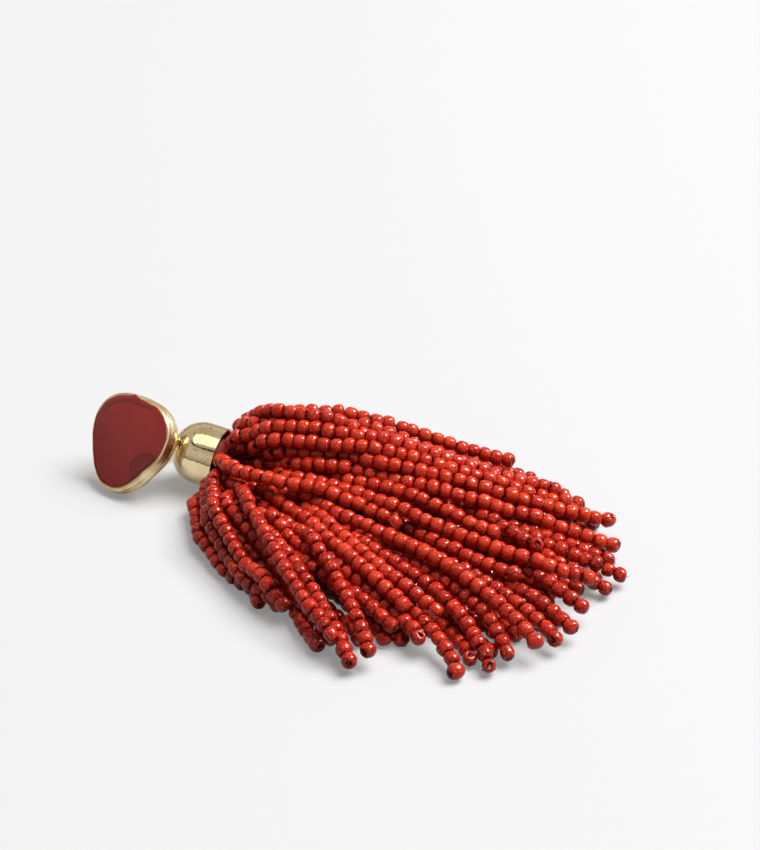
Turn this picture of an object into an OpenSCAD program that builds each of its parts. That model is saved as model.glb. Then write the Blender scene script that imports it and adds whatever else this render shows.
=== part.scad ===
// Beaded drop earring, lying on a flat surface: a stud with an enamelled front, a bell
// cap and a long tassel of seed beads. +X runs from the stud to the tips of the tassel,
// +Z is up, and the surface is at z = 0.

/* [Stud] */
// Mean radius of the stud's gold outline
stud_r = 7.6; // [6.5:0.1:9]
// How far its three corners stand out, and its three sides pull in
stud_lobe = 0.62; // [0:0.02:0.9]
// Thickness of the gold tray, front rim to flat back
stud_t = 2.8; // [2.2:0.1:3.4]
// Width of the rim round the enamel
rim_w = 0.45; // [0.3:0.05:0.8]
// How far the side wall bulges past the rim
wall_bulge = 0.15; // [0:0.05:0.3]
// Depth of the tray that the enamel fills
tray_depth = 1.1; // [0.6:0.1:1.4]
// How far the enamel's middle rises over its edge
enamel_crown = 0.5; // [0.2:0.1:0.9]

/* [Ear post] */
// Radius of the ear post
post_r = 0.4; // [0.35:0.05:0.5]
// Length of the ear post behind the stud
post_len = 11; // [9:0.5:12]

/* [Links] */
// Radius of the wire that the loops are bent from
wire_r = 0.35; // [0.25:0.05:0.4]
// Middle radius of the loop soldered behind the stud, and of the pin's eye
loop_r = 0.95; // [0.85:0.05:1.1]
// Middle radius of the jump ring between them
ring_r = 1.5; // [1.4:0.05:1.6]

/* [Cap] */
// Outer radius of the bell cap
cap_r = 4.9; // [4.4:0.1:5.2]
// Length of the cap from its dome's end to its mouth
cap_len = 8; // [7.5:0.1:9]
// Thickness of the cap's sheet metal
cap_wall = 0.5; // [0.3:0.05:0.7]
// Tilt of the lying cap, mouth down
cap_tilt = 8; // [0:1:10]

/* [Tassel] */
// Diameter of a string of seed beads
string_d = 2.2; // [1.8:0.1:2.4]
// Radius of the circle round which the strings leave the mouth
spring_r = 3.1; // [2.6:0.1:3.2]

/* [Hidden] */
$fn = 48;
GAP = 0.12;

// The whole earring's box is centred on the origin: its middle, seen from the cap's mouth
BOX_MID = [22, -7.46];

// The cap rests on its mouth's lower edge
mouth_z = cap_r * cos(cap_tilt);
bore_r = cap_r - cap_wall;
pin_hole_r = wire_r + GAP;

// The stud leans on its lower rim and on the tip of its post: these two give its lean
foot_r = stud_r + stud_lobe + wall_bulge;
foot_z = stud_t / 4;
stud_lean = atan2(stud_t / 2 + post_len - foot_z, foot_r - post_r);
stud_yaw = -20;
stud_at = [-13.4, -3.5, foot_r * sin(stud_lean) + foot_z * cos(stud_lean)];
APEX_TURN = 30;
// Distance of the soldered loop from the stud's middle, toward the corner over the cap
LOOP_OUT = 5;
SIDES = 48;
// The jump ring's middle, seen from the cap's mouth, and how it hangs between the two loops
RING_AT = [-8.7, -1, 7.3];
RING_TURN = [0, 108, 10];
// Roll of the pin's eye about the cap's axis
EYE_ROLL = -45;
PIN_HEAD_R = 1.5;
PIN_HEAD_T = 0.5;
// The pin's head sits inside the dome, as near to its end as the dome's curve lets it
pin_head_at = cap_wall + GAP + bore_r - sqrt(bore_r * bore_r - PIN_HEAD_R * PIN_HEAD_R);

// The tray, from its flat back over the rim and down to its floor: inset from the outline, height
BEZEL_WALL = [
    [0.9, -stud_t / 2],
    [0.3, -stud_t / 2 + 0.15],
    [0, -foot_z],
    [-wall_bulge, 0],
    [0, foot_z],
    [0.15, stud_t / 2 - 0.1],
    [0.25, stud_t / 2],
    [rim_w + 0.1, stud_t / 2],
    [rim_w + 0.2, stud_t / 2 - 0.2],
    [rim_w + 0.25, stud_t / 2 - tray_depth],
];
// The enamel's skin in the same two columns, from its underside to near its middle
enamel_in = rim_w + 0.25 + GAP;
enamel_edge = stud_t / 2 - 0.1;
ENAMEL_WALL = [
    [enamel_in + 0.2, stud_t / 2 - tray_depth + GAP],
    [enamel_in, stud_t / 2 - tray_depth + 0.4],
    [enamel_in, enamel_edge - 0.15],
    [enamel_in + 0.2, enamel_edge],
    [enamel_in + 1, enamel_edge + 0.35 * enamel_crown],
    [enamel_in + 2.4, enamel_edge + 0.72 * enamel_crown],
    [enamel_in + 4.4, enamel_edge + enamel_crown],
];

// One row per lock of two strings. around: where it leaves the mouth, 0 at the top and 90
// on the far side. exit: its heading there. pull: how long it keeps that heading.
// heading, reach: where its tips lie, from the mouth. lie: the heading in which they lie.
// arch, fall: how high it is led on its way out and down. rest: height of its tips.
//  around exit pull heading reach lie arch fall rest
LOCKS = [
    // on the surface or coming down to it, from the far side to the near side
    [82,   65, 0.36,  35, 37,  20,  6, 1.1, 1.1],
    [95,   50, 0.34,  24, 42,   5,  4, 1.1, 1.1],
    [108,  38, 0.34,  17, 47,   2, 12, 1.1, 1.1],
    [118,  28, 0.34,  13, 52,   0,  5, 1.1, 1.1],
    [128,  20, 0.34,  10, 56,  -2, 20, 1.1, 1.1],
    [138,  12, 0.34,   6, 60,  -4,  5, 1.1, 1.1],
    [150,   4, 0.34,   1, 61,  -6, 20, 1.1, 1.1],
    [163,   0, 0.34,  -4, 62, -10, 12, 1.1, 1.1],
    [176,  -8, 0.34,  -8, 64, -15,  7, 1.1, 1.1],
    [188, -16, 0.34, -14, 62, -22,  4, 1.1, 1.1],
    [200, -26, 0.34, -19, 64, -30,  7, 1.1, 1.1],
    [211, -38, 0.34, -25, 62, -40,  8, 1.1, 1.1],
    [220, -48, 0.36, -31, 62, -55,  3, 1.1, 1.1],
    [226, -60, 0.40, -38, 50, -50,  6, 1.1, 1.1],
    [233, -76, 0.42, -45, 49, -44,  3, 1.1, 1.1],
    [238, -92, 0.52, -54, 36, -32,  4, 0.6, 1.5],
    // over those, from the near side up to the crest
    [245, -75, 0.38, -51, 39, -35, 10, 2.0, 2.0],
    [250, -55, 0.35, -48, 49, -40, 10, 5.0, 2.0],
    [248, -45, 0.35, -48, 47, -30, 12, 9.0, 4.0],
    [256, -35, 0.35, -44, 52, -50,  7, 9.0, 3.0],
    [262, -30, 0.35, -35, 48, -30,  7, 9.0, 5.0],
    [264, -60, 0.42, -35, 59, -60,  4, 7.0, 1.5],
    [266,   0, 0.30, -31, 51, -15,  7, 9.0, 4.5],
    [272, -30, 0.35, -25, 62, -40,  9, 9.0, 3.5],
    [276, -10, 0.30, -20, 63, -35,  3, 8.0, 2.5],
    [282,  10, 0.40, -15, 62, -28,  6, 7.0, 3.0],
    [275,  -5, 0.30, -10, 61,   5, 11, 8.0, 4.0],
    [285,   5, 0.35, -10, 46, -10, 11, 11.0, 6.0],
    [290,  -5, 0.40,   0, 61,  10, 14, 9.0, 3.0],
    [307,  -5, 0.35,   7, 57,  28, 19, 10.0, 3.5],
    [335, -20, 0.30,   8, 52,  12, 24, 8.0, 4.0],
    [30,  -30, 0.25,  11, 49,  20, 27, 7.0, 5.0],
];
LIE_PULL = 0.36;
MOUTH_LEAD = 1.75;
LOCK_STEPS = 9;
// The two strings of a lock lie side by side once they are this far along it
OPEN_AT = 0.25;

string_r = string_d / 2;
// Turns at which a lock's cut has corners on a string's outer half
LOBE_TURNS = [-90, 0, 90];

function heading(a) = [cos(a), sin(a), 0];

function outline_r(a) = stud_r + stud_lobe * cos(3 * a);

function outline_ring(inset, z) = [
    for (i = [0 : SIDES - 1])
        let (a = 360 * i / SIDES, r = outline_r(a) - inset)
            [r * cos(a), r * sin(a), z]
];

// The cap's own frame: the mouth's middle at the origin, the mouth facing +X
module at_cap() {
    translate([-BOX_MID[0], -BOX_MID[1], mouth_z]) rotate([0, cap_tilt, 0]) children();
}

// The stud's own frame: its middle at the origin, enamel up, the corner over the cap at +X
module at_stud() {
    translate(stud_at - [BOX_MID[0], BOX_MID[1], 0])
        rotate([stud_lean, 0, stud_yaw]) rotate([0, 0, APEX_TURN]) children();
}

// A closed skin over rings of equal point counts, flat at its first and last ring
module ring_skin(rings) {
    n = len(rings[0]);
    last = len(rings) - 1;
    points = [for (ring = rings, p = ring) p];
    sides = [
        for (k = [0 : last - 1], i = [0 : n - 1])
            let (j = (i + 1) % n)
                [k * n + i, (k + 1) * n + i, (k + 1) * n + j, k * n + j]
    ];
    first_end = [[for (i = [0 : n - 1]) i]];
    last_end = [[for (i = [n - 1 : -1 : 0]) last * n + i]];
    polyhedron(points, concat(sides, first_end, last_end), convexity = 6);
}

// A round wire loop about Z
module wire_loop(r) {
    rotate_extrude() translate([r, 0]) circle(wire_r, $fn = 24);
}

module ear_post() {
    taper = 2 * post_r;
    sunk = 0.3;
    translate([0, 0, -stud_t / 2 - post_len]) {
        translate([0, 0, taper]) cylinder(post_len + sunk - taper, post_r, post_r);
        cylinder(taper, post_r / 2, post_r);
    }
}

module stud_bezel() {
    color("gold") at_stud() {
        ring_skin([for (row = BEZEL_WALL) outline_ring(row[0], row[1])]);
        ear_post();
        translate([LOOP_OUT, 0, -stud_t / 2 - loop_r + wire_r / 2])
            rotate([90, 0, 0]) wire_loop(loop_r);
    }
}

module enamel() {
    color("darkred") at_stud() ring_skin([for (row = ENAMEL_WALL) outline_ring(row[0], row[1])]);
}

module jump_ring() {
    color("goldenrod") translate(RING_AT - [BOX_MID[0], BOX_MID[1], 0])
        rotate(RING_TURN) wire_loop(ring_r);
}

// An eye outside the dome, its stem through the dome's hole, and a flat head inside it
module eye_pin() {
    color("goldenrod") at_cap() translate([-cap_len, 0, 0]) {
        translate([-loop_r - wire_r, 0, 0]) rotate([EYE_ROLL, 0, 0]) wire_loop(loop_r);
        rotate([0, 90, 0]) {
            translate([0, 0, -wire_r]) cylinder(wire_r + pin_head_at + PIN_HEAD_T, wire_r, wire_r);
            translate([0, 0, pin_head_at]) cylinder(PIN_HEAD_T, PIN_HEAD_R, PIN_HEAD_R);
        }
    }
}

module tassel_cap() {
    color("gold") at_cap() rotate([0, 90, 0]) rotate_extrude($fn = 96) difference() {
        intersection() {
            union() {
                translate([0, -cap_len + cap_r]) circle(cap_r, $fn = 96);
                translate([0, -cap_len + cap_r]) square([cap_r, cap_len - cap_r]);
            }
            translate([0, -cap_len]) square([cap_r, cap_len]);
        }
        translate([0, -cap_len + cap_r]) circle(bore_r, $fn = 96);
        translate([0, -cap_len + cap_r]) square([bore_r, cap_len]);
        translate([0, -cap_len - 1]) square([pin_hole_r, cap_len]);
    }
}

// Where a lock leaves the mouth, a little in front of it
function spring_point(around) =
    let (
        up = spring_r * cos(around),
        aside = spring_r * sin(around)
    )
        [
            MOUTH_LEAD * cos(cap_tilt) + up * sin(cap_tilt),
            aside,
            mouth_z - MOUTH_LEAD * sin(cap_tilt) + up * cos(cap_tilt)
        ];

// The four control points of a lock's route
function route_of(lock) =
    let (
        start = spring_point(lock[0]),
        tip = lock[4] * heading(lock[3]) + [0, 0, lock[8]],
        span = norm([tip[0] - start[0], tip[1] - start[1]]),
        out = start + lock[2] * span * heading(lock[1]),
        back = tip - LIE_PULL * span * heading(lock[5])
    )
        [start, [out[0], out[1], lock[6]], [back[0], back[1], lock[7]], tip];

function on_route(p, t) =
    pow(1 - t, 3) * p[0] + 3 * pow(1 - t, 2) * t * p[1] + 3 * (1 - t) * t * t * p[2] + t * t * t * p[3];

function along_route(p, t) =
    let (
        d = pow(1 - t, 2) * (p[1] - p[0]) + 2 * (1 - t) * t * (p[2] - p[1]) + t * t * (p[3] - p[2])
    )
        d / norm(d);

function side_of(dir) =
    let (s = cross([0, 0, 1], dir))
        s / norm(s);

// How far each string lies from the lock's middle: close together at the mouth
function apart(t) =
    let (k = min(1, t / OPEN_AT))
        string_r * (0.25 + 0.75 * k * k * (3 - 2 * k));

function lock_ring(p, t) =
    let (
        mid = on_route(p, t),
        dir = along_route(p, t),
        side = side_of(dir),
        up = cross(dir, side),
        w = apart(t),
        half = [for (a = LOBE_TURNS) [w + string_r * cos(a), string_r * sin(a)]],
        groove = string_r * (1 - 0.45 * w / string_r),
        cut = concat(
            half,
            [[0, groove]],
            [for (a = LOBE_TURNS) [-w - string_r * cos(a), -string_r * sin(a)]],
            [[0, -groove]]
        )
    )
        [for (q = cut) mid + q[0] * side + q[1] * up];

module lock(row) {
    p = route_of(row);
    ring_skin([for (i = [0 : LOCK_STEPS]) lock_ring(p, i / LOCK_STEPS)]);
    side = side_of(along_route(p, 1));
    hull()
        for (s = [-1, 1])
            translate(p[3] + s * string_r * side) sphere(string_r, $fn = 6);
}

// The bundle of thread that fills the cap, with a round nose from which the strings spring
module thread_head() {
    head_r = bore_r - GAP;
    nose = 3;
    head_back = -cap_len + pin_head_at + PIN_HEAD_T + 2 * GAP;
    at_cap() rotate([0, 90, 0]) rotate_extrude($fn = 32) intersection() {
        union() {
            translate([0, -cap_len + cap_r]) circle(head_r, $fn = 32);
            translate([0, -cap_len + cap_r]) square([head_r, cap_len - cap_r]);
            scale([head_r, nose]) circle(1, $fn = 32);
        }
        translate([0, head_back]) square([head_r, nose + 1 - head_back]);
    }
}

module bead_tassel() {
    color("firebrick") {
        thread_head();
        translate([-BOX_MID[0], -BOX_MID[1], 0]) for (row = LOCKS) lock(row);
    }
}

stud_bezel();
enamel();
jump_ring();
eye_pin();
tassel_cap();
bead_tassel();
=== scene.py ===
"""Beaded drop earring lying on a pale table: a gold stud with red enamel, a worn bell cap
and a tassel of seed-bead strings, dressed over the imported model.

Lengths are millimetres. Points are seen from the table under the middle of the cap's mouth,
+X along the cap, until a mesh is made: meshes are in metres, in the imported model's frame.
"""
import math

import bpy
import numpy as np
from mathutils import Matrix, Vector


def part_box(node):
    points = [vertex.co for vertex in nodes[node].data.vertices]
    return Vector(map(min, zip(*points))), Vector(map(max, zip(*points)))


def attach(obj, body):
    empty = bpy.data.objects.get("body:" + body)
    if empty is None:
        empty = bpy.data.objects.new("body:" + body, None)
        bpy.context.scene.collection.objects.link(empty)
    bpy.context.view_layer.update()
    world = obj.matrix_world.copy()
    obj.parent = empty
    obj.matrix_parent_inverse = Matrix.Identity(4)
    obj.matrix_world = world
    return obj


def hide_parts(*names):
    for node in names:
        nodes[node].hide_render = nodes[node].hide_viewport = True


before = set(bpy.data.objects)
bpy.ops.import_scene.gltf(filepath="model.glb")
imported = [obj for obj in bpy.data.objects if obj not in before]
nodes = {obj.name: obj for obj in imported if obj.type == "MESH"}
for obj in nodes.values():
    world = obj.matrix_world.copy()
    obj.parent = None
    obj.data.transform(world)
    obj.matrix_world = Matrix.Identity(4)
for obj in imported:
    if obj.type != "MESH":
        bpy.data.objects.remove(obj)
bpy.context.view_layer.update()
MM = 0.001

# Cap, links and stud as in the solids
CAP_R = 4.9
CAP_LEN = 8.0
CAP_WALL = 0.5
CAP_TILT = math.radians(8)
BORE_R = CAP_R - CAP_WALL
WIRE_R = 0.35
LOOP_R = 0.95
LOOP_OUT = 5.0
STUD_R = 7.6
STUD_LOBE = 0.62
STUD_T = 2.8
HALF_T = STUD_T / 2
WALL_BULGE = 0.15
RIM_W = 0.45
POST_R = 0.4
POST_LEN = 11.0

# Seed beads of size 11/0: how their radius and their pitch along the thread scatter
BEAD_R = 1.1
BEAD_MEAN_R = BEAD_R + 0.02
BEAD_MIN_R = 1.02
BEAD_MAX_R = 1.17
BEAD_R_SCATTER = 0.045
BEAD_PITCH = 1.95
PITCH_SCATTER = 0.12
SHORTEST_BEAD = 1.65
LONGEST_BEAD = 2.3
# Mean lightness painted on each group of strings, as painted light and shade: the strings on top of
# the heap lighter, those at the bottom darker
PAINTED_HEAP_LIGHT = {"bead_strings_upper": 0.92, "bead_strings_front": 0.7, "bead_strings_lower": 0.68}
SHADE_SCATTER = 0.09

# Radius of the thread, of the turn that ties a string off, of its frayed ends and of a fibre
THREAD_R = 0.2
TIE_R = 0.09
FRAYED_R = 0.06
FIBRE_R = 0.01

cap_lo, cap_hi = (np.array(corner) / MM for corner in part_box("tassel_cap"))
# The tilted mouth's upper edge is the cap's foremost point
MOUTH_PLAN = np.array([cap_hi[0] - CAP_R * math.sin(CAP_TILT), (cap_lo[1] + cap_hi[1]) / 2, 0.0])
MOUTH = np.array([0.0, 0.0, CAP_R * math.cos(CAP_TILT)])
CAP_AXIS = np.array([math.cos(CAP_TILT), 0.0, -math.sin(CAP_TILT)])
CAP_UP = np.array([math.sin(CAP_TILT), 0.0, math.cos(CAP_TILT)])
FAR_SIDE = np.array([0.0, 1.0, 0.0])

# Strings that can be followed one by one. around: where it leaves the mouth, 0 at the top
# and 90 on the far side. exit: its heading there. pull: how long it keeps that heading.
# heading, reach: where its tip lies. lie: the heading in which it lies. arch, fall: how high
# it is led. rest: height of its tip. start: how far along it the first bead is threaded.
#    around exit pull heading reach lie arch fall rest start
FOLLOWED = [
    # over the crest and down its near slope
    (10, 5, .30, 17, 44, 20, 22, 10, 6, 0),
    (20, -20, .30, 11, 48, 18, 24, 8, 5, 1),
    (40, -35, .25, 10, 51, 20, 26, 7, 4, 0),
    (340, -20, .30, 9, 53, 15, 23, 9, 4, 0),
    (300, -5, .35, 6, 60, 25, 18, 9, 3, 8),
    (315, -10, .35, 9, 53, 30, 19, 11, 4, 7),
    (285, 0, .35, -10, 47, -10, 11, 11, 6, 7),
    (290, -5, .40, 0, 62, 10, 14, 9, 3, 11),
    (275, -5, .30, -10, 62, 10, 12, 8, 4, 9),
    (305, -60, .50, -18, 34, -10, 13, 10, 7, 0),
    (260, -30, .35, -35, 48, -30, 7, 9, 5, 4),
    (265, 0, .30, -31, 51, -15, 7, 9, 4.5, 10),
    (270, -30, .35, -25, 64, -37, 9, 9, 3.5, 11),
    # down to the near side
    (250, -45, .35, -48, 48, -30, 12, 9, 4, 4),
    (255, -35, .35, -44, 52, -55, 7, 9, 3, 11),
    (250, -50, .35, -47, 52, -50, 8, 7, 2, 12),
    (235, -95, .55, -56, 34, -40, 3, 1, 1.5, 2),
    (240, -80, .35, -53, 36, -15, 8, 1, 2, 2),
    (245, -70, .35, -53, 38, -25, 10, 4, 3, 1),
    (245, -68, .35, -49, 46, -45, 10, 1, 1.5, 5),
    (250, -60, .35, -48, 46, -40, 11, 3, 1.5, 10),
    # seen only toward their tips, from the near side to the far side
    (260, -70, .40, -38, 49, -35, 6, 6, 3.5, 11),
    (265, -70, .40, -36, 53, -50, 9, 5, 3, 12),
    (265, -35, .35, -31, 62, -55, 6, 7, 1.5, 10),
    (260, -68, .40, -35, 60, -55, 4, 7, 1.5, 11),
    (270, -55, .30, -28, 62, -57, 3, 8, 2, 12),
    (275, 20, .40, -17, 54, -5, 7, 6, 5.5, 10),
    (275, -20, .30, -22, 65, -35, 2, 8, 2.5, 12),
    (280, -35, .30, -19, 65, -35, 4, 6, 2.5, 11),
    (280, 20, .40, -15, 64, -28, 4, 7, 3, 12),
    (285, 30, .40, -8, 53, -20, 7, 5, 5.5, 10),
    (290, 30, .40, -3, 62, 5, 8, 8, 2.5, 11),
    (285, 30, .40, -5, 65, 0, 5, 8, 2, 12),
    (285, 25, .40, -8, 64, -10, 5, 7, 1.5, 10),
]
ON_CREST = 13
# Pairs of strings on the table, from the far side to the near side, without the start
BENEATH = [
    (82, 65, .36, 35, 36, 20, 6, 1.1, 1.1),
    (95, 50, .34, 24, 42, 5, 4, 1.1, 1.1),
    (108, 38, .34, 17, 47, 2, 12, 1.1, 1.1),
    (118, 28, .34, 13, 52, 0, 5, 1.1, 1.1),
    (128, 20, .34, 10, 56, -2, 20, 1.1, 1.1),
    (138, 12, .34, 6, 60, -4, 5, 1.1, 1.1),
    (150, 4, .34, 1, 61, -6, 20, 1.1, 1.1),
    (163, 0, .34, -4, 62, -10, 12, 1.1, 1.1),
    (176, -8, .34, -8, 64, -15, 7, 1.1, 1.1),
    (188, -16, .34, -14, 62, -22, 4, 1.1, 1.1),
    (200, -26, .34, -19, 64, -30, 7, 1.1, 1.1),
    (211, -38, .34, -25, 62, -40, 8, 1.1, 1.1),
    (220, -48, .36, -31, 61, -55, 3, 1.1, 1.1),
    (226, -58, .38, -38, 50, -50, 6, 1.1, 1.1),
    (233, -70, .38, -44, 49, -44, 3, 1.1, 1.1),
    (238, -82, .42, -52, 36, -36, 4, 0.6, 1.5),
]
# How far along the first beads of such pairs are threaded
LOW_STARTS = (5, 9, 7, 11, 6, 10, 4, 8)
# Pairs between those and the crest, each with its two strings' starts. The nearer ones
# start late and leave a dark hollow in front of the mouth.
BETWEEN = [
    (60, 30, .30, 27, 40, 18, 14, 4, 3, 1, 4),
    (30, 12, .28, 19, 45, 14, 18, 6, 4, 2, 5),
    (0, -6, .28, 12, 51, 8, 18, 7, 4, 4, 3),
    (345, -10, .30, 6, 57, 4, 15, 7, 3, 3, 8),
    (320, -8, .32, 1, 58, 2, 12, 6, 3, 11, 12),
    (300, -8, .32, -6, 58, -4, 9, 5, 3, 11, 12),
]


def linear(colour):
    """An sRGB hex colour as a linear RGBA colour."""
    parts = [int(colour[i:i + 2], 16) / 255 for i in (1, 3, 5)]
    return [p / 12.92 if p <= 0.04045 else ((p + 0.055) / 1.055) ** 2.4 for p in parts] + [1.0]


def connect(tree, node, inputs):
    """Fills a node's inputs, each with a value or with another node's output."""
    for socket, value in inputs.items():
        if isinstance(value, bpy.types.NodeSocket):
            tree.links.new(value, node.inputs[socket])
        else:
            node.inputs[socket].default_value = value


def add(tree, kind, inputs=None, **settings):
    """One node with its settings and its inputs."""
    made = tree.nodes.new(kind)
    for name, value in settings.items():
        setattr(made, name, value)
    connect(tree, made, inputs or {})
    return made


def new_material(name):
    """An empty node material, its tree and its Principled shader."""
    material = bpy.data.materials.new(name)
    material.use_nodes = True
    tree = material.node_tree
    return material, tree, tree.nodes["Principled BSDF"]


def ramp(tree, factor, stops):
    """A colour ramp whose stops are (place, hex colour)."""
    made = add(tree, "ShaderNodeValToRGB", {"Fac": factor})
    elements = made.color_ramp.elements
    while len(elements) < len(stops):
        elements.new(0.5)
    for element, (place, colour) in zip(elements, stops):
        element.position = place
        element.color = linear(colour)
    return made.outputs["Color"]


def grid_faces(rows, columns, close_rows=False):
    """Quads between neighbouring points of a grid. Each row joins up into a ring, and the
    last row may join the first."""
    i = np.arange(rows if close_rows else rows - 1)[:, None]
    j = np.arange(columns)[None]
    a, b = i * columns, (i + 1) % rows * columns
    k = (j + 1) % columns
    return np.stack([a + j, b + j, b + k, a + k], -1).reshape(-1, 4)


def make_piece(name, points, faces, material, slot, tint=None):
    """A smooth mesh from points seen from the mouth and quads, riding on the earring.
    tint is one number for each point, which its material reads."""
    mesh = bpy.data.meshes.new(name)
    mesh.vertices.add(len(points))
    mesh.vertices.foreach_set("co", ((points + MOUTH_PLAN) * MM).astype(np.float32).ravel())
    mesh.loops.add(faces.size)
    mesh.loops.foreach_set("vertex_index", faces.astype(np.int32).ravel())
    starts = np.arange(0, faces.size, faces.shape[1], dtype=np.int32)
    mesh.polygons.add(len(faces))
    mesh.polygons.foreach_set("loop_start", starts)
    mesh.polygons.foreach_set("use_smooth", np.ones(len(faces), bool))
    if tint is not None:
        layer = mesh.attributes.new("tint", "FLOAT", "POINT")
        layer.data.foreach_set("value", tint.astype(np.float32))
    mesh.update(calc_edges=True)
    mesh.validate()
    mesh.materials.append(material)
    piece = bpy.data.objects.new(name, mesh)
    bpy.context.scene.collection.objects.link(piece)
    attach(piece, "root")
    return piece


def unit(v):
    """Vectors divided by their lengths."""
    return v / np.linalg.norm(v, axis=-1, keepdims=True)


def heading(degrees):
    """The level direction at an angle from +X toward the far side."""
    a = math.radians(degrees)
    return np.array([math.cos(a), math.sin(a), 0.0])


def round_cap(a):
    """Directions out from the cap's axis: up at an angle of 0, the far side a quarter turn
    on, as up times the cosine and far side times the sine."""
    a = np.asarray(a)[..., None]
    return np.cos(a) * CAP_UP + np.sin(a) * FAR_SIDE


def full_turn(count):
    """Angles spread evenly over a whole turn."""
    return 2 * np.pi * np.arange(count) / count


def tangents(line):
    """Unit directions of a line at its points, from its neighbours."""
    return unit(np.gradient(line, axis=0))


def closed(rings, first, last):
    """Points and quads of a skin through rings of an even number of points, closed at each
    end by a fan of quads round a pole."""
    count, sides = rings.shape[:2]
    points = np.concatenate([rings.reshape(-1, 3), [first, last]])
    even = np.arange(0, sides, 2)
    after, end = (even + 2) % sides, (count - 1) * sides
    first_pole = np.full(len(even), count * sides)
    start_fan = np.stack([first_pole, even, even + 1, after], -1)
    end_fan = np.stack([first_pole + 1, end + after, end + even + 1, end + even], -1)
    return points, np.concatenate([grid_faces(count, sides), start_fan, end_fan])


def tube(line, radius, sides):
    """Points and quads of a tube round a line: a circle across the line's direction at each
    point, carried along it, its two ends closed."""
    along = tangents(line)
    # up, or +X for a line that starts out steeply
    lead = np.array([0.0, 0.0, 1.0]) if abs(along[0, 2]) < 0.8 else np.array([1.0, 0.0, 0.0])
    side = unit(np.cross(along, lead))
    up = np.cross(side, along)
    size = np.broadcast_to(radius, len(line))
    turn = full_turn(sides)
    ring = np.cos(turn)[:, None] * side[:, None] + np.sin(turn)[:, None] * up[:, None]
    return closed(line[:, None] + size[:, None, None] * ring, line[0], line[-1])


def joined(parts):
    """One set of points and quads from several."""
    points = np.concatenate([p for p, _ in parts])
    shift = np.cumsum([0] + [len(p) for p, _ in parts[:-1]])
    return points, np.concatenate([f + s for (_, f), s in zip(parts, shift)])


def above_table(points, least):
    """Points, those lower than the least height raised to it."""
    return np.concatenate([points[:, :2], np.maximum(points[:, 2:], least)], 1)


# Routes of the strings

# They spring from a ring of this radius, this far past the mouth, and keep the heading in
# which they lie for this part of their reach
SPRING_R = 3.7
MOUTH_LEAD = 1.0
LIE_PULL = 0.36
# Followed strings are threaded from their tip back, and may begin this much early
EARLY = 1.0
# The others are cut short by up to a bead, and their last bead may reach over by a little
CUT_SHORT = 2.2
OVERHANG = 0.4


def route(row, count=400):
    """A cubic curve from the mouth's edge to the string's tip: it leaves in its exit heading,
    led up to arch, and comes down from fall in the heading in which it lies."""
    around, leave, pull, aim, reach, lie, arch, fall, rest = row[:9]
    start = MOUTH + MOUTH_LEAD * CAP_AXIS + SPRING_R * round_cap(np.radians(around))
    tip = reach * heading(aim) + [0, 0, rest]
    span = np.linalg.norm((tip - start)[:2])
    out = start + pull * span * heading(leave)
    back = tip - LIE_PULL * span * heading(lie)
    out[2], back[2] = arch, fall
    t = np.linspace(0, 1, count)[:, None]
    led = (1 - t) ** 3 * start + 3 * (1 - t) ** 2 * t * out
    return led + 3 * (1 - t) * t * t * back + t ** 3 * tip


def lengths_along(line):
    """How far along a line each of its points is."""
    steps = np.linalg.norm(np.diff(line, axis=0), axis=1)
    return np.concatenate([[0], np.cumsum(steps)])


def at_lengths(line, where):
    """The places on a line at given lengths along it."""
    along = lengths_along(line)
    return np.stack([np.interp(where, along, line[:, i]) for i in range(3)], 1)


def beside(line, turn):
    """The line moved sideways by half a string's width, a quarter of that at the mouth and
    all of it from a quarter of the way on, smoothly between."""
    side = unit(np.cross([0, 0, 1], tangents(line)))
    k = np.clip(np.linspace(0, 4, len(line)), 0, 1)
    return line + turn * BEAD_R * (0.25 + 0.75 * k * k * (3 - 2 * k))[:, None] * side


def bead_lengths(room, rng):
    """Lengths of the beads for which a stretch of thread has room."""
    count = int(room / BEAD_PITCH) + 1
    return np.clip(rng.normal(BEAD_PITCH, PITCH_SCATTER, count), SHORTEST_BEAD, LONGEST_BEAD)


def lay_strings(rng):
    """For each string its bead centres as first laid, its beads' lengths, and whether it
    is one of those followed. Those end with a bead at the tip of their route, and the other
    strings are cut to a little less, by chance."""
    laid = []
    for row in FOLLOWED:
        line, first = route(row), row[9]
        total = lengths_along(line)[-1]
        size = bead_lengths(total - first, rng)
        back = np.cumsum(size[::-1]) - size[-1]
        where = total - back[::-1]
        keep = where > first - EARLY
        laid.append((at_lengths(line, where[keep]), size[keep], True))
    for k, row in enumerate(BENEATH + BETWEEN):
        starts = row[9:] or [LOW_STARTS[(2 * k + i) % len(LOW_STARTS)] for i in (0, 1)]
        for turn, first in zip((-1, 1), starts):
            line = beside(route(row), turn)
            total = lengths_along(line)[-1] - rng.uniform(0, CUT_SHORT)
            size = bead_lengths(total - first, rng)
            where = first + np.cumsum(size) - size[0]
            keep = where <= total + OVERHANG
            laid.append((at_lengths(line, where[keep]), size[keep], False))
    return laid


# How the laid strings settle, in steps with rounds of corrections. In the functions that
# follow x holds the middles of all beads, string after string.
STEPS = 220
ROUNDS = 4
# What part of the way back to its route a step draws a bead, and how far the bead yields to
# one that it touches: followed strings keep to their routes
HOLD = {"followed": 0.05, "loose": 0.006}
GIVE = {"followed": 0.25, "loose": 1.0}
# All are stirred a little first. A step keeps most of the last one's motion and sinks the
# beads of loose strings.
STIR = 0.04
MOMENTUM = 0.8
SINK = 0.02
# Beads that overlap are pushed apart by this part of what they lack to touching
TOUCHING = 2 * BEAD_R * 0.97
PUSH = 0.8
# Beads this near are looked at for touching, and listed anew after some steps
NEAR = 3.0
LISTED_FOR = 8
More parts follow.
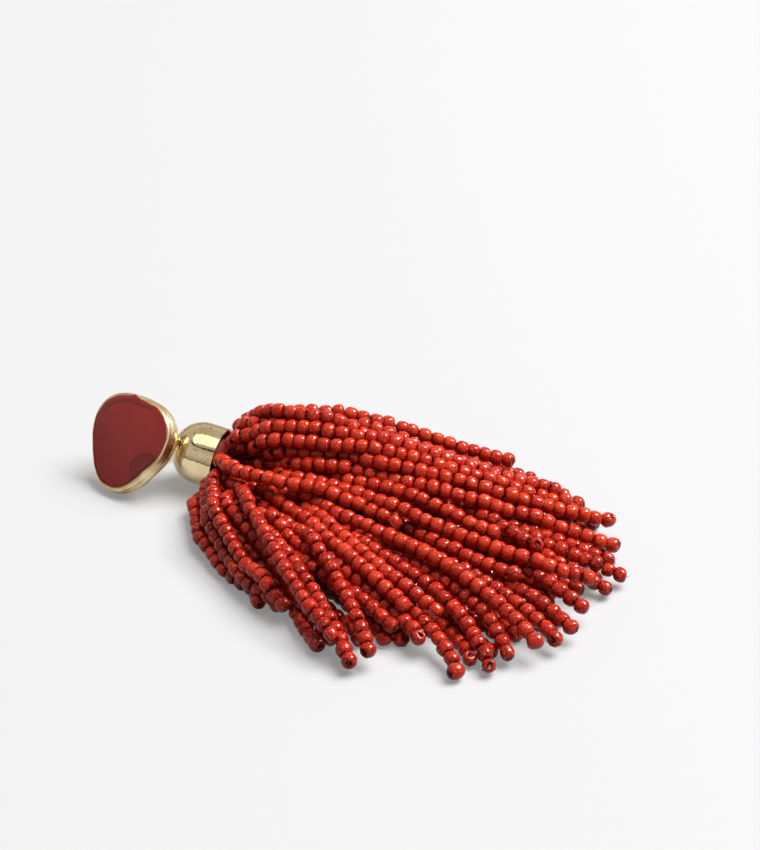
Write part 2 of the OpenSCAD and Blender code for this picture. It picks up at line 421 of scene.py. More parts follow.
# A bead and the next but one stay at least this part of their threaded distance apart
STRAIGHT = 0.985
STIFFNESS = 0.25
# What part of the way back to where it was laid each first bead is drawn
ANCHOR = 0.2
# How far before the mouth a bead's middle stays, and the core of the bore, out of which it
# is led more slowly
MOUTH_GAP = BEAD_R * 0.9
CORE_R = BORE_R - 0.6


def near_pairs(x, string, block=500):
    """Pairs of near beads that aren't neighbours on one string."""
    first, second = [], []
    for low in range(0, len(x), block):
        gap = ((x[low:low + block, None] - x[None]) ** 2).sum(2)
        i, j = np.nonzero(gap < NEAR * NEAR)
        i += low
        later = j > i
        first.append(i[later])
        second.append(j[later])
    i, j = np.concatenate(first), np.concatenate(second)
    apart = ~((string[i] == string[j]) & (j - i <= 1))
    return i[apart], j[apart]


def add_at(x, index, moves):
    """Adds moves to x at index, where an index may come more than once."""
    for axis in range(3):
        x[:, axis] += np.bincount(index, moves[:, axis], len(x))


def push_apart(x, i, j, give):
    """Moves two beads that touch apart along the line between them, the one that gives more
    by the larger share, and each by less where several crowd it."""
    between = x[j] - x[i]
    gap = np.linalg.norm(between, axis=1)
    touch = gap < TOUCHING
    a, b = i[touch], j[touch]
    push = ((TOUCHING / np.maximum(gap[touch], 1e-6) - 1) * PUSH)[:, None] * between[touch]
    share = (give[a] / (give[a] + give[b]))[:, None]
    moves = np.zeros_like(x)
    add_at(moves, b, push * (1 - share))
    add_at(moves, a, -push * share)
    crowd = np.bincount(a, minlength=len(x)) + np.bincount(b, minlength=len(x))
    x += moves / np.maximum(1, crowd * 0.5)[:, None]


def straighten(x, bead, least):
    """Pushes a bead and the next but one apart by a part of what they lack to their least
    distance."""
    between = x[bead + 2] - x[bead]
    gap = np.linalg.norm(between, axis=1)
    push = (np.maximum(least - gap, 0) / gap * STIFFNESS)[:, None] * between
    add_at(x, bead + 2, push)
    add_at(x, bead, -push)


def pull_together(x, bead, span):
    """Moves a bead and the next one, half the way each, to their distance on the thread."""
    between = x[bead + 1] - x[bead]
    gap = np.linalg.norm(between, axis=1)
    pull = ((gap - span) / gap * 0.5)[:, None] * between
    x[bead] += pull
    x[bead + 1] -= pull


def clear_cap(x):
    """Moves beads that reach into the cap's wall or past its mouth out of it."""
    from_mouth = x - MOUTH
    along = from_mouth @ CAP_AXIS
    across = from_mouth - along[:, None] * CAP_AXIS
    radius = np.linalg.norm(across, axis=1)
    ahead = MOUTH_GAP - along
    inside = (ahead > 0) & (radius < CAP_R + BEAD_R) & (along > -CAP_LEN)
    core = inside & (radius < CORE_R)
    x[core] += (ahead[core] * 0.5)[:, None] * CAP_AXIS
    outward = CAP_R + BEAD_R - radius
    over_mouth = inside & ~core & (ahead < outward)
    x[over_mouth] += ahead[over_mouth][:, None] * CAP_AXIS
    over_wall = inside & ~core & (ahead >= outward)
    x[over_wall] += (outward[over_wall] / radius[over_wall])[:, None] * across[over_wall]


def settle(laid):
    """Lets the laid strings sink onto the table, the cap and each other: each bead falls a
    little, is drawn back to its route, pushed out of its neighbours, and kept at its own
    distance along the thread."""
    count = np.array([len(s[0]) for s in laid])
    string = np.repeat(np.arange(len(laid)), count)
    first = np.concatenate([[0], np.cumsum(count)[:-1]])
    x = np.concatenate([s[0] for s in laid])
    size = np.concatenate([s[1] for s in laid])
    followed = np.array([s[2] for s in laid])[string]
    home, before, anchor = x.copy(), x.copy(), x[first].copy()
    hold = np.where(followed, HOLD["followed"], HOLD["loose"])[:, None]
    give = np.where(followed, GIVE["followed"], GIVE["loose"])
    index = np.arange(len(x))
    link = index[:-1][string[:-1] == string[1:]]
    span = (size[link] + size[link + 1]) / 2
    odd = (link - first[string[link]]) % 2 == 1
    second = index[:-2][string[:-2] == string[2:]]
    least = (size[second] / 2 + size[second + 1] + size[second + 2] / 2) * STRAIGHT
    x += np.random.default_rng(3).normal(0, STIR, x.shape)
    for step in range(STEPS):
        if step % LISTED_FOR == 0:
            i, j = near_pairs(x, string)
        x, before = x + (x - before) * MOMENTUM, x
        x[:, 2] -= SINK * ~followed
        x += hold * (home - x)
        for _ in range(ROUNDS):
            push_apart(x, i, j, give)
            straighten(x, second, least)
            for some in (~odd, odd):
                pull_together(x, link[some], span[some])
            x[first] += ANCHOR * (anchor - x[first])
            clear_cap(x)
            x[:, 2] = np.maximum(x[:, 2], BEAD_MAX_R)
    ends = np.cumsum(count)[:-1]
    return np.split(x, ends), np.split(size, ends)


# Camera: the photograph's view, 30 degrees down, from the near side

CAMERA_AT = np.array([113.27, -239.94, 163.5])
CAMERA_DOWN = math.radians(30)
CAMERA_TURN = math.radians(20)
PHOTO_H = 850
FOCAL_PX = 2000
SENSOR = 36


def make_camera():
    """The camera, whose lens is the photograph's focal length in pixels over its height."""
    data = bpy.data.cameras.new("camera")
    data.sensor_width = SENSOR
    data.lens = FOCAL_PX / PHOTO_H * SENSOR
    data.clip_start = 0.01
    camera = bpy.data.objects.new("camera", data)
    camera.location = (CAMERA_AT + MOUTH_PLAN) * MM
    camera.rotation_euler = (math.pi / 2 - CAMERA_DOWN, 0, CAMERA_TURN)
    bpy.context.scene.collection.objects.link(camera)
    bpy.context.scene.camera = camera


# Materials

NOISE = "ShaderNodeTexNoise"
MIX = "ShaderNodeMix"
MATH = "ShaderNodeMath"
MAP_RANGE = "ShaderNodeMapRange"
BUMP = "ShaderNodeBump"


def coral_glass():
    """Opaque pressed glass, coral red: a glossy skin with an orange-peel grain and chalky flecks,
    painted shade round the hole and lips where beads meet, and beads of one string that differ a
    little in shade. The strings on top of the heap are painted lighter."""
    material, tree, shader = new_material("coral_glass")
    place = add(tree, "ShaderNodeTexCoord").outputs["Object"]
    # tint holds painted shade at the hole and lips and the upper strings' painted lighter tone,
    # times each bead's own tone
    tint = add(tree, "ShaderNodeAttribute", attribute_name="tint").outputs["Fac"]
    # mottling 0.6 mm across; grain and flecks 0.2 mm across, drawn almost twice as coarse
    mottle = add(tree, NOISE, {"Vector": place, "Scale": 1600, "Detail": 3}).outputs["Fac"]
    grain = add(tree, NOISE, {"Vector": place, "Scale": 2600, "Detail": 3}).outputs["Fac"]
    flecks = add(tree, NOISE, {"Vector": place, "Scale": 3000, "Detail": 2}).outputs["Fac"]
    shade = add(tree, MATH, {0: mottle, 1: 0.5, 2: tint}, operation="MULTIPLY_ADD").outputs[0]
    part = add(tree, MATH, {0: shade, 1: 0.6}, operation="MULTIPLY").outputs[0]
    reds = [(0.15, "#2A0200"), (0.4, "#6C0803"), (0.6, "#981607"), (0.8, "#B22C12")]
    body = ramp(tree, part, reds)
    chalk = add(tree, MAP_RANGE, {
        "Value": flecks, "From Min": 0.52, "From Max": 0.68, "To Max": 0.55,
    }).outputs["Result"]
    colour = add(tree, MIX, {
        "Factor": chalk, "A": body, "B": linear("#C4583A"),
    }, data_type="RGBA").outputs["Result"]
    rough = add(tree, MAP_RANGE, {"Value": mottle, "To Min": 0.02, "To Max": 0.24})
    bump = add(tree, BUMP, {"Height": grain, "Strength": 0.6, "Distance": 0.09 * MM})
    connect(tree, shader, {
        "Base Color": colour,
        "Roughness": rough.outputs["Result"],
        "IOR": 1.5,
        "Specular IOR Level": 0.24,
        "Normal": bump.outputs["Normal"],
    })
    return material


def red_thread():
    """Dark red waxed polyester thread, twisted: fine slanting ridges, no gloss."""
    material, tree, shader = new_material("red_thread")
    place = add(tree, "ShaderNodeTexCoord").outputs["Object"]
    # strands 0.2 mm wide, half the thread's width
    twist = add(tree, NOISE, {"Vector": place, "Scale": 5000, "Detail": 2}).outputs["Fac"]
    bump = add(tree, BUMP, {"Height": twist, "Strength": 0.5, "Distance": 0.05 * MM})
    connect(tree, shader, {
        "Base Color": ramp(tree, twist, [(0.3, "#5A0A08"), (0.7, "#92201A")]),
        "Roughness": 0.75,
        "Normal": bump.outputs["Normal"],
    })
    return material


def gold_plate(name, turned=(0, 0, 0), filed=0.5):
    """Polished pale gold plate on brass, filed along its edge: fine long scratches, darker
    where the plate has worn. turned lays the scratches across the Z axis of a turned piece,
    and filed is how deep they are, next to nothing on drawn wire."""
    material, tree, shader = new_material(name)
    place = add(tree, "ShaderNodeTexCoord").outputs["Object"]
    # worn places 2.5 mm across, scratches 0.3 mm wide and 4 mm long
    worn = add(tree, NOISE, {"Vector": place, "Scale": 400, "Detail": 4}).outputs["Fac"]
    upright = add(tree, "ShaderNodeMapping", {"Vector": place, "Rotation": turned})
    across = add(tree, "ShaderNodeMapping", {
        "Vector": upright.outputs["Vector"], "Scale": (0.6, 0.6, 9),
    }).outputs["Vector"]
    lines = add(tree, NOISE, {"Vector": across, "Scale": 400, "Detail": 5}).outputs["Fac"]
    soil = add(tree, MATH, {0: worn, 1: lines}, operation="ADD").outputs[0]
    part = add(tree, MATH, {0: soil, 1: 0.5}, operation="MULTIPLY").outputs[0]
    rough = add(tree, MAP_RANGE, {"Value": lines, "To Min": 0.12, "To Max": 0.42})
    bump = add(tree, BUMP, {"Height": lines, "Strength": filed, "Distance": 0.14 * MM})
    connect(tree, shader, {
        "Base Color": ramp(tree, part, [(0.34, "#8A6A3C"), (0.42, "#D0B684"), (0.6, "#EEDCB4")]),
        "Roughness": rough.outputs["Result"],
        "Metallic": 1.0,
        "Normal": bump.outputs["Normal"],
    })
    return material


def worn_gold():
    """Thin pale gold plate on a pressed brass cap: shallow dents, pin pricks where it has
    tarnished, and a dull bloom between polished places."""
    material, tree, shader = new_material("worn_gold")
    place = add(tree, "ShaderNodeTexCoord").outputs["Object"]
    # bloom 3 mm across, dents 4 mm across; pricks 0.3 mm across, drawn twice as coarse
    bloom = add(tree, NOISE, {"Vector": place, "Scale": 300, "Detail": 4}).outputs["Fac"]
    spots = add(tree, NOISE, {"Vector": place, "Scale": 1500, "Detail": 3}).outputs["Fac"]
    dents = add(tree, NOISE, {"Vector": place, "Scale": 260, "Detail": 2}).outputs["Fac"]
    tarnish = add(tree, MAP_RANGE, {"Value": spots, "From Min": 0.63, "From Max": 0.7})
    colour = add(tree, MIX, {
        "Factor": tarnish.outputs["Result"],
        "A": ramp(tree, bloom, [(0.3, "#D8C08F"), (0.7, "#E8D8B4")]),
        "B": linear("#7A6230"),
    }, data_type="RGBA").outputs["Result"]
    rough = add(tree, MAP_RANGE, {"Value": bloom, "To Min": 0.04, "To Max": 0.16})
    dented = add(tree, BUMP, {"Height": dents, "Strength": 0.6, "Distance": 0.16 * MM})
    pricked = add(tree, BUMP, {
        "Height": spots, "Strength": 0.3, "Distance": 0.05 * MM, "Normal": dented.outputs["Normal"],
    })
    connect(tree, shader, {
        "Base Color": colour,
        "Roughness": rough.outputs["Result"],
        "Metallic": 1.0,
        "Normal": pricked.outputs["Normal"],
    })
    return material


def red_enamel():
    """Cold enamel poured into the tray: deep red under a clear, slightly uneven gloss."""
    material, tree, shader = new_material("red_enamel")
    place = add(tree, "ShaderNodeTexCoord").outputs["Object"]
    # clouds and waves of the poured face 5 to 6 mm across
    cloud = add(tree, NOISE, {"Vector": place, "Scale": 160, "Detail": 2}).outputs["Fac"]
    waves = add(tree, NOISE, {"Vector": place, "Scale": 190, "Detail": 2}).outputs["Fac"]
    # the tint marks a painted dark reflection line under the top side, and a darker disc at the
    # lower right
    dark_marks = add(tree, "ShaderNodeAttribute", attribute_name="tint").outputs["Fac"]
    colour = add(tree, MIX, {
        "Factor": dark_marks,
        "A": ramp(tree, cloud, [(0.3, "#780C0A"), (0.7, "#84110E")]),
        "B": linear("#3E0305"),
    }, data_type="RGBA").outputs["Result"]
    bump = add(tree, BUMP, {"Height": waves, "Strength": 0.5, "Distance": 0.15 * MM})
    connect(tree, shader, {
        "Base Color": colour,
        "Roughness": 0.07,
        "IOR": 1.5,
        "Normal": bump.outputs["Normal"],
    })
    return material


# Stud

STUD_PLAN = (-13.4, -3.5)
STUD_YAW = math.radians(-20)
APEX_TURN = math.radians(30)
STUD_SIDES = 160
TRAY_FLOOR = HALF_T - 0.6
# Inset from the outline, and height over the tray's middle
TRAY_PROFILE = [
    # the back, and its rounded edge
    (6.0, -HALF_T), (3.5, -HALF_T), (0.9, -HALF_T),
    (0.5, 0.04 - HALF_T), (0.3, 0.15 - HALF_T), (0.1, 0.4 - HALF_T),
    # the bulging wall
    (0.0, -0.7), (-0.1, -0.35), (-WALL_BULGE, 0), (-0.1, 0.35), (0, 0.7),
    # the rim
    (0.05, HALF_T - 0.3), (0.12, HALF_T - 0.1), (0.2, HALF_T - 0.03), (0.3, HALF_T),
    (RIM_W, HALF_T), (RIM_W + 0.4, HALF_T - 0.02), (RIM_W + 0.5, HALF_T - 0.3),
    # the floor
    (3.5, TRAY_FLOOR), (6.0, TRAY_FLOOR),
]
# Hand filing along the rim: waves in a turn, their height, where they start
FILED_WAVES = ((5, 0.05, 1), (11, 0.03, 0), (23, 0.02, 2))
# The post's radius narrows to its rounded tip: distance from the tray, part of the radius
POST_TAPER = [
    (-0.3, 1), (0, 1), (2, 1), (4, 1), (6, 1), (8, 1), (10, 1),
    (10.4, 0.9), (10.8, 0.7), (POST_LEN, 0.4),
]


def rotation(angle, first, second):
    """The rotation that turns one axis toward another by an angle."""
    turn = np.eye(3)
    turn[first, first] = turn[second, second] = math.cos(angle)
    turn[second, first] = math.sin(angle)
    turn[first, second] = -math.sin(angle)
    return turn


def stud_frame():
    """The stud's middle and its three directions: toward the corner over the cap, across,
    and out of the enamel. It leans on its lower rim and on the tip of its post."""
    foot_r, foot_z = STUD_R + STUD_LOBE + WALL_BULGE, STUD_T / 4
    lean = math.atan2(HALF_T + POST_LEN - foot_z, foot_r - POST_R)
    height = foot_r * math.sin(lean) + foot_z * math.cos(lean)
    turn = rotation(STUD_YAW, 0, 1) @ rotation(lean, 1, 2) @ rotation(APEX_TURN, 0, 1)
    return np.array([*STUD_PLAN, height]), turn


STUD_AT, STUD_TURN = stud_frame()


def on_stud(points):
    """Points given in the stud's own directions from its middle, as seen from the mouth."""
    return points @ STUD_TURN.T + STUD_AT


def outline_r(turn):
    """The stud's outline, a circle with three soft corners: a cosine three times a turn."""
    return STUD_R + STUD_LOBE * np.cos(3 * turn)


def polar(turn, radius, height):
    """Points at an angle, a radius and a height."""
    return np.stack([radius * np.cos(turn), radius * np.sin(turn), height + 0 * turn], -1)


def bell(distance, wide):
    """A smooth bump of height 1: e to the power of minus the square of distance over width."""
    return np.exp(-(distance / wide) ** 2)


def swell(turn, at, wide):
    """A bell round an angle. That angle and the width are in degrees."""
    return bell((np.degrees(turn) - at + 180) % 360 - 180, wide)


def make_tray():
    """The gold tray: the outline's curve moved in by each step of a rounded profile, with a
    faint hand-filed wave along its rim, its floor and back closed in their middles."""
    turn = full_turn(STUD_SIDES)
    wave = sum(height * np.sin(waves * turn + start) for waves, height, start in FILED_WAVES)
    rings = []
    for inset, height in TRAY_PROFILE:
        # filing ends at the flat back and in the tray's middle, and is highest on the rim
        filed = wave * (inset < 1)
        rim = max(0.0, height / HALF_T)
        radius = outline_r(turn) - inset - 0.6 * filed
        rings.append(polar(turn, radius, height + 0.5 * rim * filed))
    points, faces = closed(np.stack(rings), [0, 0, -HALF_T], [0, 0, TRAY_FLOOR])
    return on_stud(points), faces[:, ::-1]


def torus(middle, first, second, ring_r, wire_r, around=48, sides=16):
    """A wire ring in the plane of two directions: a circle carried round a circle."""
    a, b = full_turn(around), full_turn(sides)
    out = np.cos(a)[:, None] * first + np.sin(a)[:, None] * second
    normal = np.cross(first, second)
    radius, height = ring_r + wire_r * np.cos(b), wire_r * np.sin(b)
    points = middle + radius[None, :, None] * out[:, None] + height[None, :, None] * normal
    return points.reshape(-1, 3), grid_faces(around, sides, True)


# How far in from the outline the enamel's edge lies all round, and where it lies further in
# or, with a minus, less far: turn and width in degrees, how far
EDGE_INSET = 0.36
EDGE_SWELLS = ((-75, 44, 0.42), (108, 26, 0.13), (72, 7, -0.34), (30, 6, -0.10))
ENAMEL_DOME = 0.5
ENAMEL_EDGE = HALF_T + 0.04
ENAMEL_UNDER = HALF_T - 0.05
# A painted dark reflection line under the top side of the enamel: turn in degrees and radius, and a
# radius off the face for all other turns
DARK_REFLECTION_ARC = ((34, 6.6), (42, 6.1), (52, 5.75), (68, 5.7), (92, 6.15), (111, 6.65), (127, 6.5))
OFF_FACE = 9
# At the lower right, a darker disc with a dark line along its edge: its middle, its radius, and the
# end of that line where it shows
DARK_DISC = (3.2, -5.7)
DARK_DISC_R = 2.7
DARK_DISC_END = -4.6


def painted_enamel_marks(turn, radius):
    """How dark the enamel is painted, from 0 to 1: across the painted reflection line a narrow bell
    and a faint wide one outside it, and for the darker disc a bell across its edge and a little all
    over it, which ends in a soft step."""
    edge = np.interp(np.degrees(turn), *zip(*DARK_REFLECTION_ARC), left=OFF_FACE, right=OFF_FACE)
    marks = 0.9 * bell(radius - edge, 0.1) + 0.25 * bell(radius - edge - 0.3, 0.3)
    x, y = radius * np.cos(turn), radius * np.sin(turn)
    from_disc = np.hypot(x - DARK_DISC[0], y - DARK_DISC[1]) - DARK_DISC_R
    marks += 0.9 * bell(from_disc, 0.13) * (y > DARK_DISC_END) + 0.45 / (1 + np.exp(8 * from_disc))
    return np.clip(marks, 0, 1)


def make_enamel():
    """The poured enamel: the outline moved in by an uneven edge, over a dome that falls off
    as a power of the distance from its middle and creeps up a little before the rim."""
    turn = full_turn(STUD_SIDES)
    inset = EDGE_INSET + sum(far * swell(turn, at, wide) for at, wide, far in EDGE_SWELLS)
    # steps along the lower side, and fine waves all round
    inset += 0.07 * np.tanh(8 * np.sin(3 * turn + 0.4)) * swell(turn, -80, 50)
    inset += 0.03 * np.sin(17 * turn + 1)
    reach = outline_r(turn) - inset
    s = np.linspace(0.02, 1, 64)[:, None]
    creep = 0.035 * bell(s - 0.93, 0.035) * (0.4 + swell(turn, 95, 60) + swell(turn, -50, 35))
    dimple = -0.09 * bell(s - 0.88, 0.05) * swell(turn, 18, 5)
    height = ENAMEL_EDGE + ENAMEL_DOME * (1 - s ** 2.6) + creep + dimple
    face = polar(np.broadcast_to(turn, height.shape), s * reach, height)
    skirt = polar(turn, reach - 0.06, ENAMEL_UNDER)
    top, under = [0, 0, ENAMEL_EDGE + ENAMEL_DOME], [0, 0, ENAMEL_UNDER]
    points, faces = closed(np.concatenate([face, [skirt]]), top, under)
    # the tint: a painted dark reflection line and a darker disc
    marks = painted_enamel_marks(turn, s * reach)
    tint = np.concatenate([marks.ravel(), np.zeros(len(points) - marks.size)])
    return on_stud(points), faces, tint


def make_stud(enamel, wire):
    """The tray, the loop and post soldered to its back, and the enamel in it."""
    filed = gold_plate("filed_gold", Matrix(STUD_TURN.T.tolist()).to_euler())
    tray = make_piece("stud_gold", *make_tray(), filed, "gold_plate")
    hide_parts("stud_bezel")
    toward_cap, _, out = STUD_TURN.T
    loop_middle = on_stud(np.array([LOOP_OUT, 0, -HALF_T - LOOP_R + WIRE_R / 2]))
    loop = torus(loop_middle, toward_cap, out, LOOP_R, WIRE_R)
    along_post, part = np.array(POST_TAPER).T
    post = tube(on_stud((-HALF_T - along_post)[:, None] * [0, 0, 1]), part * POST_R, 16)
    soldered = make_piece("post_and_loop", *joined([loop, post]), wire, "gold_plate")
    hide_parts("stud_bezel")
    points, faces, marks = make_enamel()
    face = make_piece("enamel_face", points, faces, enamel, "enamel", marks)
    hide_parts("enamel")


# Beads and thread

# Half a drilled barrel of unit radius and half length, from its hole over the lip to its belly:
# radius, distance from the middle, and how light it is painted, with painted shade at the hole and
# the lips where beads meet
BEAD_PROFILE = [
    (0.26, 0.66, 0.45),
    (0.53, 0.97, 0.75),
    (0.84, 0.72, 0.95),
    (0.99, 0.30, 1.00),
]
# How beads differ: their width over their height, lumps, skew, what they are longer than
# their pitch, and the range of their shade
OVAL = (0.97, 1.03)
LUMP = 0.03
LUMP_WAVES = (1.5, 6)
SKEW = 0.12
LENGTHENED = (1.0, 1.08)
SHADES = (0.5, 1.05)
# The drilled holes are wider than the thread, so beads sit a little off their line and askew
HOLE_PLAY = 0.06
WOBBLE = 0.08
# Which way a first bead leans, and the angles by which a last one may have swung aside
FIRST_ASKEW = [0.1, -0.9, 0.5]
LAST_SWINGS = [0.15, 0.5, 1.1]
TABLE_GAP = 0.01
# The knotted bundle: distance past the mouth, radius
BUNDLE_BACK, BUNDLE_TIP = -6.6, 2.6
BUNDLE_PROFILE = [
    (BUNDLE_BACK, 3.0), (-5.5, 3.8), (-3, 4.1), (-1.2, 4.1), (-0.4, 3.4),
    (0.3, 2.7), (1.0, 2.4), (1.7, 1.9), (2.2, 1.2), (2.45, 0.6),
]
STRANDS = 16
# A string's thread: how deep in the cap it starts, over what part of the bore, how far past
# the mouth it clears the lip, and at what part of the way out to its first bead
THREAD_DEEP = 2.5
THREAD_BORE = 0.8
LIP_AHEAD = 0.3
LIP_OUT = 0.7
# The turn that ties a string off lies this far off its last bead's end and side
TIE_OFF_END = 0.02
TIE_OFF_SIDE = 0.04
# Loose ends: how far they stray from the hole's direction, how they bend, how long they are
FRAYED = {"scatter": 0.5, "curl": 0.4, "lengths": (0.25, 0.5)}
FIBRE = {"scatter": 0.8, "curl": 0.6, "lengths": (1.5, 3)}
# A tip this low may have a fibre
LOW_TIP = 2
FIBRE_CHANCE = 0.5


def bead_skin(sides=10):
    """A drilled barrel: the closed profile of hole, lip and belly carried round the hole, with how
    light each point is painted: painted shade at the hole and the lips."""
    profile = np.array([(r, -z, pale) for r, z, pale in BEAD_PROFILE] + BEAD_PROFILE[::-1])
    turn = full_turn(sides)
    shape = (len(profile), sides)
    radius, depth, pale = (np.broadcast_to(profile[:, i, None], shape) for i in range(3))
    points = np.stack([radius * np.cos(turn), radius * np.sin(turn), depth], -1)
    return points.reshape(-1, 3), pale.ravel(), grid_faces(*shape, True)[:, ::-1]


def bead_meshes(centres, axes, radius, length, shade, rng):
    """All beads at once: the barrel stretched to each bead's size, a little oval and lumpy,
    turned so that its hole follows its axis."""
    skin, pale, faces = bead_skin()
    count = len(centres)
    side = unit(np.cross(axes, rng.normal(size=(count, 3))))
    up = np.cross(axes, side)
    oval = rng.uniform(*OVAL, count)
    wave, start = rng.uniform(*LUMP_WAVES, (count, 1)), rng.uniform(0, 6, (count, 1))
    lump = 1 + LUMP * np.sin(skin[None, :, 0] * wave + start)
    skew = rng.uniform(-SKEW, SKEW, count)
    p = skin[None] * lump[..., None]
    points = centres[:, None] + (p[..., 0] * (radius * oval)[:, None])[..., None] * side[:, None]
    points += (p[..., 1] * (radius / oval)[:, None])[..., None] * up[:, None]
    lengthwise = p[..., 2] * (length / 2)[:, None] + p[..., 0] * (skew * radius)[:, None]
    points += lengthwise[..., None] * axes[:, None]
    shift = (np.arange(count) * len(skin))[:, None, None]
    # Each bead's own tone scatters about its group's painted lightness, times the painted shade at
    # its hole and lips
    tint = np.clip(rng.normal(shade, SHADE_SCATTER, count), *SHADES)[:, None] * pale
    return points.reshape(-1, 3), (faces[None] + shift).reshape(-1, 4), tint.ravel()


def bead_axes(line, askew, rng):
    """The way each bead's hole points: along its string, with some wobble. The first may hang
    askew, its hole to the near side, and the last has swung aside by one of three angles."""
    along = unit(tangents(line) + rng.normal(0, WOBBLE, line.shape))
    if askew:
        along[0] = unit(along[0] + FIRST_ASKEW)
    side = unit(np.cross(along[-1], rng.normal(size=3)))
    swing = rng.choice(LAST_SWINGS)
    along[-1] = math.cos(swing) * along[-1] + math.sin(swing) * side
    return along


def make_tassel(glass, thread):
    """The strings in three pieces, their threads from inside the cap, and their ends."""
    rng = np.random.default_rng(11)
    strings, sizes = settle(lay_strings(rng))
    strings = [line + rng.normal(0, HOLE_PLAY, line.shape) for line in strings]
    groups = {name: [] for name in PAINTED_HEAP_LIGHT}
    upper, front, lower = groups
    for k, (line, size) in enumerate(zip(strings, sizes)):
        name = upper if k < ON_CREST else front if k < len(FOLLOWED) else lower
        groups[name].append((line, bead_axes(line, name != lower, rng), size))
    for name, group in groups.items():
        centres, axes, lengths = (np.concatenate(part) for part in zip(*group))
        radius = rng.normal(BEAD_MEAN_R, BEAD_R_SCATTER, len(centres))
        radius = np.clip(radius, BEAD_MIN_R, BEAD_MAX_R)
        lengths = lengths * rng.uniform(*LENGTHENED, len(centres))
        points, faces, tint = bead_meshes(centres, axes, radius, lengths, PAINTED_HEAP_LIGHT[name], rng)
        piece = make_piece(name, above_table(points, TABLE_GAP), faces, glass, "beads", tint)
        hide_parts("bead_tassel")
    make_threads(strings, thread, rng)
    make_ends([string for group in groups.values() for string in group], thread, rng)


def thread_bundle():
    """The knotted threads that fill the cap: a profile carried round the cap's axis, ridged
    by 16 strands that wind once as the bundle narrows to its blunt end before the mouth."""
    along, radius = np.array(BUNDLE_PROFILE).T[:, :, None]
    turn = full_turn(96)
    radius = radius * (1 + 0.05 * np.cos(STRANDS * (turn + 0.35 * along)))
    rings = MOUTH + along[..., None] * CAP_AXIS + radius[..., None] * round_cap(turn)
    return closed(rings, MOUTH + BUNDLE_BACK * CAP_AXIS, MOUTH + BUNDLE_TIP * CAP_AXIS)


def make_threads(strings, thread, rng):
    """The bundle, and each string's thread: from a chance place inside the cap, past the
    lip on the string's own side, and through its beads."""
    parts = [thread_bundle()]
    for line in strings:
        a, r = rng.uniform(0, 2 * np.pi), THREAD_BORE * BORE_R * math.sqrt(rng.uniform())
        inner = MOUTH - THREAD_DEEP * CAP_AXIS + r * round_cap(a)
        outward = line[0] - MOUTH
        shorten = min(1, SPRING_R / np.linalg.norm(outward))
        lip = MOUTH + LIP_AHEAD * CAP_AXIS + LIP_OUT * outward * shorten
        parts.append(tube(np.concatenate([[inner], [lip], line]), THREAD_R, 6))
    make_piece("bead_threads", *joined(parts), thread, "beads")


def stray(start, axis, rng, scatter, curl, lengths):
    """A loose end as a parabola: off from its start in about the axis's direction, by a
    length between two, and bent by chance."""
    way = unit(axis + rng.normal(0, scatter, 3))
    bend = rng.normal(0, curl, 3)
    s = np.linspace(0, 1, 7)[:, None]
    return start + rng.uniform(*lengths) * (s * way + s * s * bend)


def make_ends(strings, thread, rng):
    """What ties each string off: a turn of thread as half an ellipse round its last bead,
    frayed ends at that bead's hole, and here and there by a low tip a loose fibre that
    drops onto the table as the cube of what is left of it."""
    t = np.linspace(0, np.pi, 9)[:, None]
    left = 1 - np.linspace(0, 1, 7)
    parts = []
    for line, along, size in strings:
        end, axis, half = line[-1], along[-1], size[-1] / 2
        side = unit(np.cross(axis, rng.normal(size=3)))
        tie = end + np.cos(t) * (half + TIE_OFF_END) * axis
        tie = tie + np.sin(t) * (BEAD_R + TIE_OFF_SIDE) * side
        parts.append(tube(above_table(tie, TIE_R), TIE_R, 6))
        for _ in range(rng.integers(1, 3)):
            frayed = stray(end + 0.8 * half * axis, axis, rng, **FRAYED)
            parts.append(tube(above_table(frayed, FRAYED_R + TABLE_GAP), FRAYED_R, 4))
        if end[2] < LOW_TIP and rng.uniform() < FIBRE_CHANCE:
            fibre = stray(end, axis, rng, **FIBRE)
            fibre[:, 2] = 3 * FIBRE_R + end[2] * left ** 3
            parts.append(tube(fibre, FIBRE_R, 4))
    make_piece("thread_ends", *joined(parts), thread, "beads")


# Table and light

# In metres: half the table's side, and how far away the diffusers stand
TABLE_HALF = 4.0
LIGHT_AWAY = 2.5
TABLE_GLOW = 0.22
# The pale warm room, from the table's edge up: height of each stop, as the sine of the
# angle over the table, and its colour
ROOM = [
    (0.03, "#221E1B"), (0.06, "#A9A39D"), (0.35, "#D6CEC6"), (0.56, "#D6CEC6"), (0.65, "#C6BFB8"),
]
# What part of its light falls on matt surfaces
ROOM_FILL = 0.2
# On the near side a dark bar hangs across it, high up: the same columns
BAR = [(0.76, "#FFFFFF"), (0.78, "#3A3A3A"), (0.82, "#3A3A3A"), (0.84, "#FFFFFF")]
# Diffusers: direction from the earring, solid angle (sr), radiance, and the rays it is for.
# A broad one lights matt surfaces and softens shadows; a compact one makes the glints.
SOFT_BOXES = {
    "broad_diffuser": ((0.38, 0.26, 0.89), 0.6, 14.0, "matt"),
    "key_softbox": ((0.47, 0.36, 0.80), 0.15, 55.0, "gloss"),
    "top_softbox": ((-0.20, -0.08, 0.98), 0.34, 1.3, "both"),
}


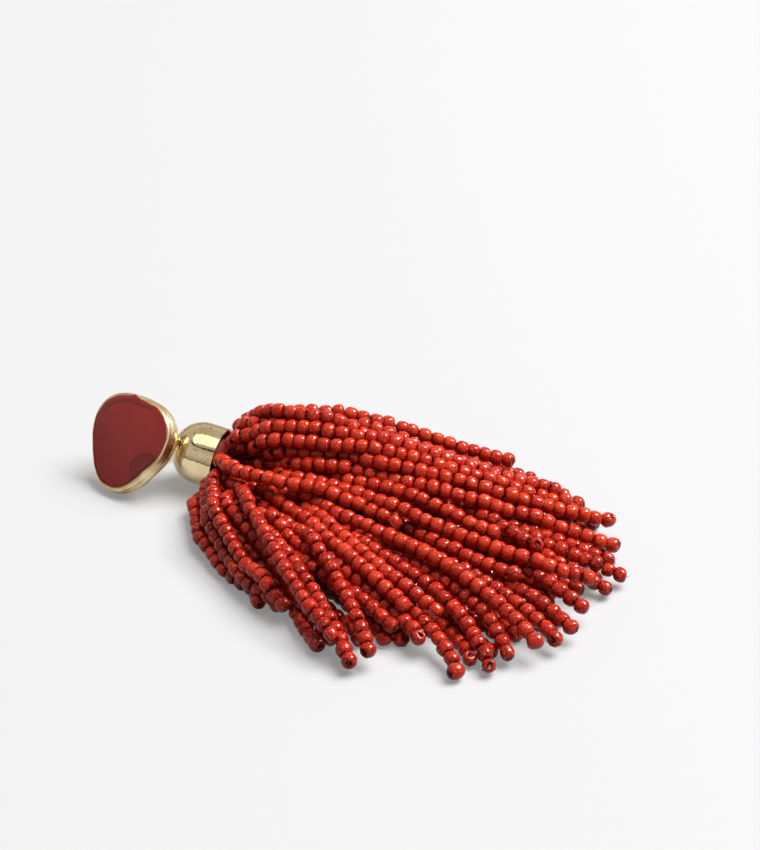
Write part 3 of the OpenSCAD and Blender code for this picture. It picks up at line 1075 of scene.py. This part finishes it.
def make_table():
    """A table of white acrylic that glows a little, so that shadows on it stay pale. The glow
    lights nothing: it is off for rays that come from a matt surface."""
    mesh = bpy.data.meshes.new("table")
    w = TABLE_HALF
    mesh.from_pydata([(-w, -w, 0), (w, -w, 0), (w, w, 0), (-w, w, 0)], [], [(0, 1, 2, 3)])
    table = bpy.data.objects.new("table", mesh)
    bpy.context.scene.collection.objects.link(table)
    material, tree, shader = new_material("white_table")
    matt = add(tree, "ShaderNodeLightPath").outputs["Is Diffuse Ray"]
    glow = add(tree, MAP_RANGE, {"Value": matt, "To Min": TABLE_GLOW, "To Max": 0.0})
    connect(tree, shader, {
        "Base Color": linear("#929293"),
        "Roughness": 0.8,
        "Emission Color": linear("#FFFFFF"),
        "Emission Strength": glow.outputs["Result"],
    })
    mesh.materials.append(material)


def make_room():
    """The room that glossy surfaces show: its colours by height, times those of the bar on
    the near side, and its light turned down on matt surfaces."""
    world = bpy.data.worlds.new("pale_room")
    bpy.context.scene.world = world
    world.use_nodes = True
    tree = world.node_tree
    toward = add(tree, "ShaderNodeTexCoord").outputs["Generated"]
    parts = add(tree, "ShaderNodeSeparateXYZ", {"Vector": toward}).outputs
    near = add(tree, MAP_RANGE, {"Value": parts["Y"], "From Min": -0.15, "From Max": -0.4})
    colour = add(tree, MIX, {
        "Factor": near.outputs["Result"],
        "A": ramp(tree, parts["Z"], ROOM),
        "B": ramp(tree, parts["Z"], BAR),
    }, data_type="RGBA", blend_type="MULTIPLY").outputs["Result"]
    matt = add(tree, "ShaderNodeLightPath").outputs["Is Diffuse Ray"]
    strength = add(tree, MAP_RANGE, {"Value": matt, "To Min": 1.0, "To Max": ROOM_FILL})
    connect(tree, tree.nodes["Background"], {
        "Color": colour,
        "Strength": strength.outputs["Result"],
    })


def soft_box(name, direction, solid, radiance, rays):
    """A square diffuser that faces the earring from a direction and fills a solid angle: its
    side is the root of that angle times its distance, its power the radiance times pi times
    its area."""
    data = bpy.data.lights.new(name, "AREA")
    data.size = math.sqrt(solid) * LIGHT_AWAY
    data.energy = radiance * math.pi * data.size ** 2
    lamp = bpy.data.objects.new(name, data)
    lamp.location = unit(np.array(direction)) * LIGHT_AWAY
    lamp.rotation_mode = "QUATERNION"
    lamp.rotation_quaternion = (-lamp.location).to_track_quat("-Z", "Y")
    lamp.visible_diffuse = rays != "gloss"
    lamp.visible_glossy = rays != "matt"
    bpy.context.scene.collection.objects.link(lamp)


make_camera()
make_table()
make_room()
for name, box in SOFT_BOXES.items():
    soft_box(name, *box)
bpy.context.scene.view_settings.view_transform = "Standard"

plate = gold_plate("gold_wire", filed=0.03)
cap_gold = worn_gold()
for name, material in (("jump_ring", plate), ("eye_pin", plate), ("tassel_cap", cap_gold)):
    nodes[name].material_slots[0].material = material
make_stud(red_enamel(), plate)
make_tassel(coral_glass(), red_thread())
